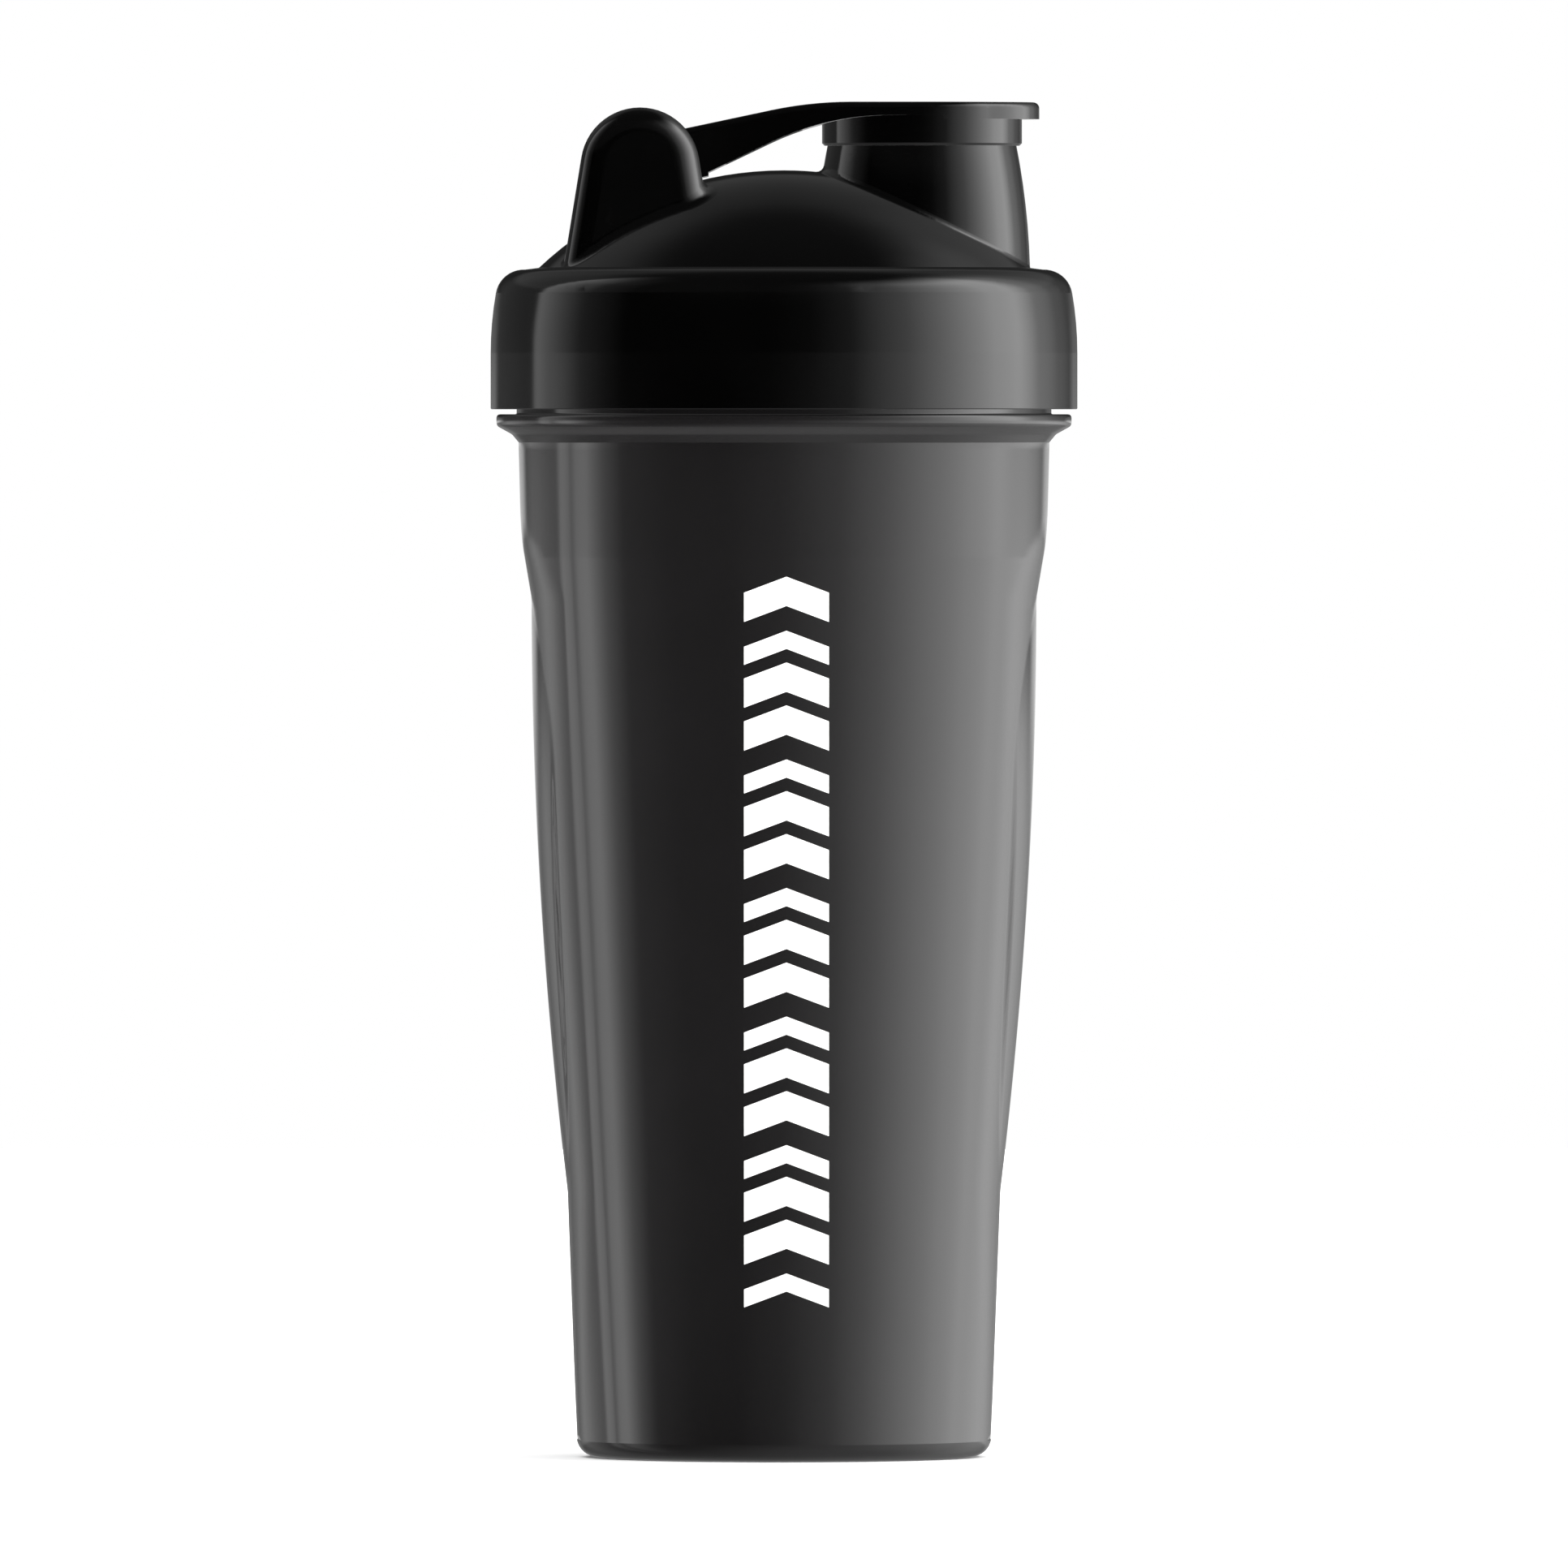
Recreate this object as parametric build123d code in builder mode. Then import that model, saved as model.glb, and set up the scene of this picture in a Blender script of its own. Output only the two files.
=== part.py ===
"""Protein shaker bottle: a tapered drinking cup with side grips, a screw lid with a
domed top, a drinking spout and two hinge ears, a flip cap that closes the spout, two
silicone seals and a loose wire whisk ball.

Millimetres. The origin is on the cup's axis at the resting plane, +Z is up, the spout
is towards +X, the flip cap's hinge towards -X, and the printed front faces -Y.
"""
from build123d import *
import math
import os

# ---------------------------------------------------------------- cup
WALL = 1.8
FOOT_INNER_RADIUS = 28.2
FOOT_OUTER_RADIUS = 30.9
PUSH_UP = 1.2                    # how far the base is domed in above the resting plane
FLOOR_THICKNESS = 2.0
BASE_RADIUS = 33.9
BASE_CORNER_HEIGHT = 2.7
COLLAR_START_RADIUS = 42.95      # the taper eases off here, below the flange
COLLAR_START_HEIGHT = 147.0
COLLAR_RADIUS = 43.4
COLLAR_HEIGHT = 165.7
FLARE_RADIUS = 44.5              # the flange's underside flares out past this point
FLARE_HEIGHT = 167.2
FLANGE_RADIUS = 47.07
FLANGE_BOTTOM = 168.6
FLANGE_TOP = 170.5
FLANGE_CHAMFER = 0.4
NECK_RADIUS = 43.75
RIM_HEIGHT = 190.5
RIM_CHAMFER = 0.6
INNER_CORNER = 5.5

# ---------------------------------------------------------------- side grips
GRIP_TOP = 140.35                # the pad's upper end
GRIP_BOTTOM = 43.8               # the pad's lower end
GRIP_TOP_RADIUS = 41.3
GRIP_BOTTOM_RADIUS = 35.45
GRIP_ARC_RADIUS = 797.0          # the pad's upright profile is one long arc
RECESS_AXIS_SHIFT = 12.0         # the recess is flatter in plan than the cup
PAD_AXIS_SHIFT = 2.9             # and the pad is rounder
PAD_TOP_RADIUS = 15.6
PAD_BOTTOM_RADIUS = 11.0
RECESS_DEEPEST_HEIGHT = 100.0
RECESS_DEEPEST_RADIUS = 39.0
RECESS_TOP_RADIUS = 44.15        # where the thumb ramp has passed outside the cup
RECESS_TOP_HEIGHT = 158.5

# ---------------------------------------------------------------- screw thread
PITCH = 6.0
THREAD_START = 175.8             # centre height of the neck thread's lower end
NECK_THREAD_TURNS = 1.25
LID_THREAD_TURNS = 1.0
LID_THREAD_LEAD_IN = 0.25        # turns from the neck thread's start to the lid thread's
LID_THREAD_DROP = 2.5            # how far the lid's ridge sits below the neck's
RIDGE_ROOT = 2.6
RIDGE_CREST = 1.2
RIDGE_HEIGHT = 1.5
RIDGE_BITE = 0.6                 # how far a ridge's root is sunk in its wall

# ---------------------------------------------------------------- lid
LID_BOTTOM = 171.3
LID_CHAMFER = 0.15
SKIRT_RADIUS = 48.0
SKIRT_INNER_RADIUS = 45.8
SKIRT_STRAIGHT_TOP = 180.5
LID_CORNER_BOTTOM = 190.3
LID_CORNER_RADIUS = 47.15
LID_CORNER_MIDDLE = (45.6, 193.05)   # a point of the corner's rounding
SHOULDER_HEIGHT = 194.15
SHOULDER_RADIUS = 42.4
SHOULDER_SLOPE = 0.133           # its rise towards the dome
SHOULDER_END_RADIUS = 39.0       # inside the dome
CHANNEL_TOP = 192.3              # underside of the shoulder, above the seal
CHANNEL_CHAMFER = 0.8
PLUG_OUTER_RADIUS = 41.55        # the plug ring reaches down inside the cup's neck
PLUG_INNER_RADIUS = 40.25
PLUG_BOTTOM = 186.8
PLUG_CHAMFER = 0.4
DOME_RADIUS = 58.4
DOME_CENTRE = 152.0
DOME_WALL = 1.9
DOME_FOOT = 188.0                # the dome runs on down inside the shoulder to this height

# ---------------------------------------------------------------- spout
SPOUT_X = 22.57
SPOUT_TOP = 218.0
SPOUT_TOP_RADIUS = 14.7
SPOUT_FOOT = 189.0
SPOUT_FOOT_RADIUS = 17.7
SPOUT_BULGE_RADIUS = 120.0       # the spout's side is slightly barrelled
SPOUT_ROOT_ROUNDING = 1.2
SPOUT_BORE_RADIUS = 13.3
SPOUT_BORE_FOOT = 192.6
SPOUT_BORE_FOOT_RADIUS = 15.6

# ---------------------------------------------------------------- hinge
HINGE_X = -23.5
HINGE_Z = 210.85
EAR_RADIUS = 9.7
EAR_FLARE = 9.2                  # degrees that each flank of an ear leans out
EAR_OUTER_Y = 21.0
EAR_INNER_Y = 14.5
EAR_ROUNDING = 4.0
EAR_ROOT_ROUNDING = 2.2
ARM_HALF_WIDTH = 14.2
HUB_RADIUS = 4.65
TRUNNION_RADIUS = 2.9
SOCKET_RADIUS = 2.98
TRUNNION_END = 17.4
SOCKET_END = 17.7

# ---------------------------------------------------------------- flip cap
CAP_RADIUS = 16.35
CAP_BOTTOM = 214.4
CAP_TOP = 221.5
CAP_CHAMFER = 0.4
CAP_ROUNDING = 1.0
PLATE_UNDERSIDE = 218.9
PLATE_RADIUS = 16.4
LIP_REACH = 19.2                 # from the spout's axis to the tip of the thumb lip
LIP_ANGLE = 50.0                 # half the angle over which the lip stands out of the plate
LIP_BLEND = 3.0                  # how far its outline keeps the plate's heading
LIP_HALF_WIDTH = 7.0             # of the nearly straight edge at its tip
LIP_UNDERSIDE = 218.75
MOUTH_RADIUS = 15.6              # inside of the cap's skirt, at its mouth
SOCKET_TOP_RADIUS = 15.1
STOPPER_RADIUS = 13.0            # ring that plugs the spout's bore
STOPPER_WALL = 1.4
STOPPER_BOTTOM = 214.9
ARM_SLOPE = 11.96                # degrees, top of the arm
ARM_BEND_X = -2.12               # where the arm's top and underside begin to level out
ARM_UNDERSIDE_SLOPE = 25.6
ARM_UNDERSIDE_HEIGHT = 214.9
ARM_UNDERSIDE_RADIUS = 45.0
HEEL_X = -12.35
ARM_START_X = -20.0              # the hub's side of the arm
LIP_START_X = 26.0
ARM_WALL = 2.2
ARM_RIB = 1.8                    # rib along the middle of the arm's hollow underside
ARM_HOLLOW_START = -9.5
ARM_HOLLOW_END = 3.0
ARM_HOLLOW_RISE = 0.8            # the hollow's roof follows the arm as it levels out

# ---------------------------------------------------------------- seals
SEAL_SLACK = 0.15
LID_SEAL_INNER = PLUG_OUTER_RADIUS + 0.2
LID_SEAL_OUTER = SKIRT_INNER_RADIUS - 0.95
SPOUT_SEAL_OUTER = 14.95

# ---------------------------------------------------------------- whisk ball
BALL_RADIUS = 24.0
WIRE_RADIUS = 1.15
BALL_HALF_TURNS = 14
BALL_END_ANGLE = 14.0            # degrees from the pole at which the wire begins
BALL_GAP = 0.4                   # clearance between the ball and the cup's floor

os.makedirs("parts", exist_ok=True)


def ridge(radius, outwards, start_height, turns, start_turn):
    """One helical thread ridge of trapezoidal section, standing out of or into a wall."""
    side = 1 if outwards else -1
    flank_slope = (RIDGE_ROOT - RIDGE_CREST) / 2 / RIDGE_HEIGHT
    sunk_half_width = RIDGE_ROOT / 2 + RIDGE_BITE * flank_slope
    with BuildPart() as made:
        with BuildLine() as path:
            Helix(PITCH, PITCH * turns, radius, center=(0, 0, start_height))
        start = path.line.edges()[0]
        with BuildSketch(Plane(start @ 0, x_dir=(1, 0, 0), z_dir=start % 0)):
            with BuildLine():
                Polyline(
                    (-side * RIDGE_BITE, -sunk_half_width),
                    (side * RIDGE_HEIGHT, -RIDGE_CREST / 2),
                    (side * RIDGE_HEIGHT, RIDGE_CREST / 2),
                    (-side * RIDGE_BITE, sunk_half_width),
                    close=True,
                )
            make_face()
        sweep(path=path.line, is_frenet=True)
    return made.part.rotate(Axis.Z, 360 * start_turn)


def write(part, name):
    """Labels a finished piece and writes it as its own STEP file."""
    part.label = name
    export_step(part, f"parts/{name}.step")


# ================================================================ bottle_body
def grip_cutter(inset):
    """Ring outside a grip's recess: flatter in plan than the cup, so it bites one side.
    inset moves the recess towards the axis, to shape the inside of the wall."""
    reach = 60.0
    with BuildPart() as ring:
        with BuildSketch(Plane.XZ):
            with BuildLine():
                Polyline(
                    (RECESS_TOP_RADIUS - inset, RECESS_TOP_HEIGHT),
                    (GRIP_TOP_RADIUS - inset, GRIP_TOP),
                    (RECESS_DEEPEST_RADIUS - inset, RECESS_DEEPEST_HEIGHT),
                    (GRIP_BOTTOM_RADIUS - inset, GRIP_BOTTOM),
                    (BASE_RADIUS - inset, BASE_CORNER_HEIGHT),
                    (reach, BASE_CORNER_HEIGHT),
                    (reach, RECESS_TOP_HEIGHT),
                    close=True,
                )
            make_face()
        revolve(axis=Axis((-RECESS_AXIS_SHIFT, 0, 0), (0, 0, 1)))
    return ring.part


with BuildPart() as grip_pad:
    with BuildSketch(Plane.XZ):
        with BuildLine():
            arc_start = (GRIP_TOP_RADIUS, GRIP_TOP)
            arc_end = (GRIP_BOTTOM_RADIUS, GRIP_BOTTOM)
            RadiusArc(arc_end, arc_start, -GRIP_ARC_RADIUS)
            Polyline(
                arc_start,
                (GRIP_TOP_RADIUS - WALL / 2, GRIP_TOP),
                (RECESS_DEEPEST_RADIUS - WALL / 2, RECESS_DEEPEST_HEIGHT),
                (GRIP_BOTTOM_RADIUS - WALL / 2, GRIP_BOTTOM),
                arc_end,
            )
        make_face()
    revolve(axis=Axis((PAD_AXIS_SHIFT, 0, 0), (0, 0, 1)))
    with BuildSketch(Plane.YZ.offset(20)) as outline:
        with Locations((0, GRIP_TOP - PAD_TOP_RADIUS)):
            Circle(PAD_TOP_RADIUS)
        with Locations((0, GRIP_BOTTOM + PAD_BOTTOM_RADIUS)):
            Circle(PAD_BOTTOM_RADIUS)
        make_hull()
    extrude(amount=40, mode=Mode.INTERSECT)

neck_thread = ridge(NECK_RADIUS, True, THREAD_START, NECK_THREAD_TURNS, 0)

with BuildPart() as cup_inside:
    with BuildSketch(Plane.XZ):
        with BuildLine():
            Polyline(
                (0, PUSH_UP + FLOOR_THICKNESS),
                (BASE_RADIUS - WALL - INNER_CORNER, PUSH_UP + FLOOR_THICKNESS),
            )
            TangentArc(
                (BASE_RADIUS - WALL - INNER_CORNER, PUSH_UP + FLOOR_THICKNESS),
                (BASE_RADIUS - WALL + 0.2, PUSH_UP + FLOOR_THICKNESS + INNER_CORNER),
                tangent=(1, 0),
            )
            Polyline(
                (BASE_RADIUS - WALL + 0.2, PUSH_UP + FLOOR_THICKNESS + INNER_CORNER),
                (COLLAR_START_RADIUS - WALL, COLLAR_START_HEIGHT),
                (COLLAR_RADIUS - WALL, COLLAR_HEIGHT),
                (NECK_RADIUS - WALL, FLANGE_TOP),
                (NECK_RADIUS - WALL, RIM_HEIGHT + 1),
                (0, RIM_HEIGHT + 1),
                (0, PUSH_UP + FLOOR_THICKNESS),
            )
        make_face()
    revolve(axis=Axis.Z)
    inner_cutter = grip_cutter(WALL)
    add(inner_cutter, mode=Mode.SUBTRACT)
    add(inner_cutter.mirror(Plane.YZ), mode=Mode.SUBTRACT)

with BuildPart() as bottle_body:
    with BuildSketch(Plane.XZ):
        with BuildLine():
            Polyline(
                (0, PUSH_UP),
                (FOOT_INNER_RADIUS - PUSH_UP, PUSH_UP),
                (FOOT_INNER_RADIUS, 0),
                (FOOT_OUTER_RADIUS, 0),
            )
            TangentArc((FOOT_OUTER_RADIUS, 0), (BASE_RADIUS, BASE_CORNER_HEIGHT), tangent=(1, 0))
            Polyline(
                (BASE_RADIUS, BASE_CORNER_HEIGHT),
                (COLLAR_START_RADIUS, COLLAR_START_HEIGHT),
                (COLLAR_RADIUS, COLLAR_HEIGHT),
                (FLARE_RADIUS, FLARE_HEIGHT),
                (FLANGE_RADIUS - FLANGE_CHAMFER, FLANGE_BOTTOM),
                (FLANGE_RADIUS, FLANGE_BOTTOM + FLANGE_CHAMFER),
                (FLANGE_RADIUS, FLANGE_TOP - FLANGE_CHAMFER),
                (FLANGE_RADIUS - FLANGE_CHAMFER, FLANGE_TOP),
                (NECK_RADIUS, FLANGE_TOP),
                (NECK_RADIUS, RIM_HEIGHT - RIM_CHAMFER),
                (NECK_RADIUS - RIM_CHAMFER, RIM_HEIGHT),
                (0, RIM_HEIGHT),
                (0, PUSH_UP),
            )
        make_face()
    revolve(axis=Axis.Z)
    outer_cutter = grip_cutter(0)
    add(outer_cutter, mode=Mode.SUBTRACT)
    add(outer_cutter.mirror(Plane.YZ), mode=Mode.SUBTRACT)
    add(cup_inside.part, mode=Mode.SUBTRACT)
    add(grip_pad.part)
    add(grip_pad.part.mirror(Plane.YZ))
    add(neck_thread)
write(bottle_body.part, "bottle_body")


# ================================================================ screw_lid
def ear(side):
    """One hinge ear, on the -Y or the +Y side, without its trunnion socket."""
    lean = math.radians(EAR_FLARE)
    tangent_x = EAR_RADIUS * math.cos(lean)
    tangent_z = EAR_RADIUS * math.sin(lean)
    foot_x = tangent_x + (HINGE_Z + tangent_z - DOME_FOOT) * math.tan(lean)
    with BuildPart() as made:
        with BuildSketch(Plane.XZ.offset(-side * EAR_INNER_Y)):
            with BuildLine():
                ThreePointArc(
                    (HINGE_X - tangent_x, HINGE_Z + tangent_z),
                    (HINGE_X, HINGE_Z + EAR_RADIUS),
                    (HINGE_X + tangent_x, HINGE_Z + tangent_z),
                )
                Polyline(
                    (HINGE_X + tangent_x, HINGE_Z + tangent_z),
                    (HINGE_X + foot_x, DOME_FOOT),
                    (HINGE_X - foot_x, DOME_FOOT),
                    (HINGE_X - tangent_x, HINGE_Z + tangent_z),
                )
            make_face()
        extrude(amount=-side * (EAR_OUTER_Y - EAR_INNER_Y))
        outer_face = made.faces().sort_by(Axis.Y)[-1 if side > 0 else 0]
        fillet(outer_face.edges().sort_by(Axis.Z)[1:], EAR_ROUNDING)
    return made.part


def dome_height(radius, dome_radius):
    """Height of a dome of the given sphere radius, at a distance from the lid's axis."""
    return DOME_CENTRE + math.sqrt(dome_radius**2 - radius**2)


INNER_DOME_RADIUS = DOME_RADIUS - DOME_WALL
lid_thread = ridge(
    SKIRT_INNER_RADIUS,
    False,
    THREAD_START + PITCH * LID_THREAD_LEAD_IN - LID_THREAD_DROP,
    LID_THREAD_TURNS,
    LID_THREAD_LEAD_IN,
)

with BuildPart() as lid_inside:
    with BuildSketch(Plane.XZ):
        with BuildLine():
            Polyline(
                (0, LID_BOTTOM - 1),
                (SKIRT_INNER_RADIUS, LID_BOTTOM - 1),
                (SKIRT_INNER_RADIUS, CHANNEL_TOP - CHANNEL_CHAMFER),
                (SKIRT_INNER_RADIUS - CHANNEL_CHAMFER, CHANNEL_TOP),
                (PLUG_OUTER_RADIUS, CHANNEL_TOP),
                (PLUG_OUTER_RADIUS, PLUG_BOTTOM + PLUG_CHAMFER),
                (PLUG_OUTER_RADIUS - PLUG_CHAMFER, PLUG_BOTTOM),
                (PLUG_INNER_RADIUS, PLUG_BOTTOM),
                (PLUG_INNER_RADIUS, dome_height(PLUG_INNER_RADIUS, INNER_DOME_RADIUS)),
            )
            RadiusArc(
                (0, DOME_CENTRE + INNER_DOME_RADIUS),
                (PLUG_INNER_RADIUS, dome_height(PLUG_INNER_RADIUS, INNER_DOME_RADIUS)),
                INNER_DOME_RADIUS,
            )
            Line((0, DOME_CENTRE + INNER_DOME_RADIUS), (0, LID_BOTTOM - 1))
        make_face()
    revolve(axis=Axis.Z)

with BuildPart() as spout:
    with BuildSketch(Plane.XZ):
        with BuildLine():
            RadiusArc(
                (SPOUT_X + SPOUT_FOOT_RADIUS, SPOUT_FOOT),
                (SPOUT_X + SPOUT_TOP_RADIUS, SPOUT_TOP),
                -SPOUT_BULGE_RADIUS,
            )
            Polyline(
                (SPOUT_X + SPOUT_TOP_RADIUS, SPOUT_TOP),
                (SPOUT_X, SPOUT_TOP),
                (SPOUT_X, SPOUT_FOOT),
                (SPOUT_X + SPOUT_FOOT_RADIUS, SPOUT_FOOT),
            )
        make_face()
    revolve(axis=Axis((SPOUT_X, 0, 0), (0, 0, 1)))

with BuildPart() as bore:
    with BuildSketch(Plane.XZ):
        with BuildLine():
            Polyline(
                (SPOUT_X, LID_BOTTOM),
                (SPOUT_X + SPOUT_BORE_FOOT_RADIUS, LID_BOTTOM),
                (SPOUT_X + SPOUT_BORE_FOOT_RADIUS, SPOUT_BORE_FOOT),
                (SPOUT_X + SPOUT_BORE_RADIUS, SPOUT_TOP - 2),
                (SPOUT_X + SPOUT_BORE_RADIUS, SPOUT_TOP + 1),
                (SPOUT_X, SPOUT_TOP + 1),
                close=True,
            )
        make_face()
    revolve(axis=Axis((SPOUT_X, 0, 0), (0, 0, 1)))


def on_dome(edge):
    """Whether an edge lies on the dome's outer surface, above its hidden foot."""
    middle = edge @ 0.5
    off_surface = abs(math.dist(middle, (0, 0, DOME_CENTRE)) - DOME_RADIUS)
    return off_surface < 0.01 and middle.Z > DOME_FOOT + 0.5


with BuildPart() as domed_top:
    with BuildSketch(Plane.XZ):
        with BuildLine():
            dome_top = (0, DOME_CENTRE + DOME_RADIUS)
            dome_foot = (math.sqrt(DOME_RADIUS**2 - (DOME_FOOT - DOME_CENTRE) ** 2), DOME_FOOT)
            RadiusArc(dome_top, dome_foot, DOME_RADIUS)
            Polyline(dome_top, (0, DOME_FOOT), dome_foot)
        make_face()
    revolve(axis=Axis.Z)
    add(spout.part)
    spout_root = domed_top.edges().filter_by(
        lambda edge: on_dome(edge)
        and math.hypot((edge @ 0.5).X - SPOUT_X, (edge @ 0.5).Y) < SPOUT_FOOT_RADIUS + 0.1
    )
    fillet(spout_root, SPOUT_ROOT_ROUNDING)
    add(ear(-1))
    add(ear(1))
    ear_roots = domed_top.edges().filter_by(
        lambda edge: on_dome(edge) and (edge @ 0.5).X < 0 and abs((edge @ 0.5).Y) > EAR_INNER_Y + 0.01
    )
    fillet(ear_roots, EAR_ROOT_ROUNDING)

with BuildPart() as lid_ring:
    with BuildSketch(Plane.XZ):
        with BuildLine():
            Polyline(
                (0, LID_BOTTOM),
                (SKIRT_RADIUS - LID_CHAMFER, LID_BOTTOM),
                (SKIRT_RADIUS, LID_BOTTOM + LID_CHAMFER),
                (SKIRT_RADIUS, SKIRT_STRAIGHT_TOP),
            )
            TangentArc(
                (SKIRT_RADIUS, SKIRT_STRAIGHT_TOP),
                (LID_CORNER_RADIUS, LID_CORNER_BOTTOM),
                tangent=(0, 1),
            )
            ThreePointArc(
                (LID_CORNER_RADIUS, LID_CORNER_BOTTOM),
                LID_CORNER_MIDDLE,
                (SHOULDER_RADIUS, SHOULDER_HEIGHT),
            )
            shoulder_rise = (SHOULDER_RADIUS - SHOULDER_END_RADIUS) * SHOULDER_SLOPE
            Polyline(
                (SHOULDER_RADIUS, SHOULDER_HEIGHT),
                (SHOULDER_END_RADIUS, SHOULDER_HEIGHT + shoulder_rise),
                (SHOULDER_END_RADIUS, CHANNEL_TOP),
                (0, CHANNEL_TOP),
                (0, LID_BOTTOM),
            )
        make_face()
    revolve(axis=Axis.Z)
solid_lid = lid_ring.part + domed_top.part

with BuildPart() as screw_lid:
    add(solid_lid)
    add(lid_inside.part, mode=Mode.SUBTRACT)
    add(bore.part, mode=Mode.SUBTRACT)
    with BuildSketch(Plane.XZ):
        with Locations((HINGE_X, HINGE_Z)):
            Circle(SOCKET_RADIUS)
    extrude(amount=SOCKET_END, both=True, mode=Mode.SUBTRACT)
    add(lid_thread)
write(screw_lid.part, "screw_lid")


# ================================================================ flip_cap
def on_hub(degrees):
    """Point of the hub's circle, at an angle from +X towards +Z."""
    angle = math.radians(degrees)
    return (HINGE_X + HUB_RADIUS * math.cos(angle), HINGE_Z + HUB_RADIUS * math.sin(angle))


hinge_distance = math.hypot(HINGE_X, HINGE_Z - DOME_CENTRE)
over_dome = hinge_distance - HUB_RADIUS      # the arm's underside follows the dome
dome_side = math.degrees(math.atan2(DOME_CENTRE - HINGE_Z, -HINGE_X))
top_angle = math.radians(ARM_SLOPE)
hub_top_x, hub_top_z = on_hub(90 + ARM_SLOPE)
top_bend = (ARM_BEND_X, hub_top_z + (ARM_BEND_X - hub_top_x) * math.tan(top_angle))
top_arc_radius = (CAP_TOP - top_bend[1]) / (1 - math.cos(top_angle))
top_level = (ARM_BEND_X + top_arc_radius * math.sin(top_angle), CAP_TOP)
under_angle = math.radians(ARM_UNDERSIDE_SLOPE)
under_level = (
    ARM_BEND_X + ARM_UNDERSIDE_RADIUS * math.sin(under_angle),
    ARM_UNDERSIDE_HEIGHT + ARM_UNDERSIDE_RADIUS * (1 - math.cos(under_angle)),
)
heel_top = (
    HEEL_X,
    ARM_UNDERSIDE_HEIGHT - (ARM_BEND_X - HEEL_X) * math.tan(under_angle),
)
heel_bottom = (HEEL_X, dome_height(HEEL_X, over_dome))

lip_angle = math.radians(LIP_ANGLE)
lip_root = Vector(SPOUT_X + PLATE_RADIUS * math.cos(lip_angle), PLATE_RADIUS * math.sin(lip_angle))
lip_heading = Vector(math.sin(lip_angle), -math.cos(lip_angle))

top_start = (ARM_START_X, top_bend[1] - (ARM_BEND_X - ARM_START_X) * math.tan(top_angle))
bottom_start = (ARM_START_X, dome_height(ARM_START_X, over_dome))
hollow_roof = top_bend[1] - ARM_WALL

with BuildPart() as strap:
    with BuildSketch(Plane.XZ):
        with BuildLine():
            Line(top_start, top_bend)
            TangentArc(top_bend, top_level, tangent=(math.cos(top_angle), math.sin(top_angle)))
            Polyline(
                top_level,
                (SPOUT_X + LIP_REACH + 5, CAP_TOP),
                (SPOUT_X + LIP_REACH + 5, LIP_UNDERSIDE),
                (LIP_START_X, LIP_UNDERSIDE),
                (LIP_START_X, under_level[1]),
                under_level,
            )
            TangentArc(under_level, (ARM_BEND_X, ARM_UNDERSIDE_HEIGHT), tangent=(-1, 0))
            Polyline((ARM_BEND_X, ARM_UNDERSIDE_HEIGHT), heel_top, heel_bottom)
            RadiusArc(bottom_start, heel_bottom, over_dome)
            Line(bottom_start, top_start)
        make_face()
    extrude(amount=PLATE_RADIUS + 5, both=True)
    with BuildSketch(Plane.XY.offset(HINGE_Z - 10)):
        with BuildLine():
            Line((ARM_START_X - 1, ARM_HALF_WIDTH), (HEEL_X, ARM_HALF_WIDTH))
            Spline((HEEL_X, ARM_HALF_WIDTH), (SPOUT_X, PLATE_RADIUS), tangents=((1, 0), (1, 0)))
            CenterArc((SPOUT_X, 0), PLATE_RADIUS, LIP_ANGLE, 90 - LIP_ANGLE)
            Bezier(
                lip_root,
                lip_root + lip_heading * LIP_BLEND,
                (SPOUT_X + LIP_REACH, LIP_HALF_WIDTH),
                (SPOUT_X + LIP_REACH, 0),
            )
            mirror(about=Plane.XZ)
            Line((ARM_START_X - 1, ARM_HALF_WIDTH), (ARM_START_X - 1, -ARM_HALF_WIDTH))
        make_face()
    extrude(amount=30, mode=Mode.INTERSECT)
    top_faces = strap.faces().filter_by(
        lambda face: face.normal_at(face.center()).Z > 0.9 and face.center().Z > HINGE_Z + HUB_RADIUS
    )
    fillet(top_faces.edges().filter_by(Axis.Y, reverse=True), CAP_ROUNDING)

with BuildPart() as hub:
    with BuildSketch(Plane.XZ):
        with BuildLine():
            ThreePointArc(on_hub(dome_side), on_hub(197), on_hub(90 + ARM_SLOPE))
            Polyline(on_hub(90 + ARM_SLOPE), top_start, bottom_start)
            RadiusArc(on_hub(dome_side), bottom_start, over_dome)
        make_face()
    extrude(amount=ARM_HALF_WIDTH, both=True)
    with BuildSketch(Plane.XZ):
        with Locations((HINGE_X, HINGE_Z)):
            Circle(TRUNNION_RADIUS)
    extrude(amount=TRUNNION_END, both=True)

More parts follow.
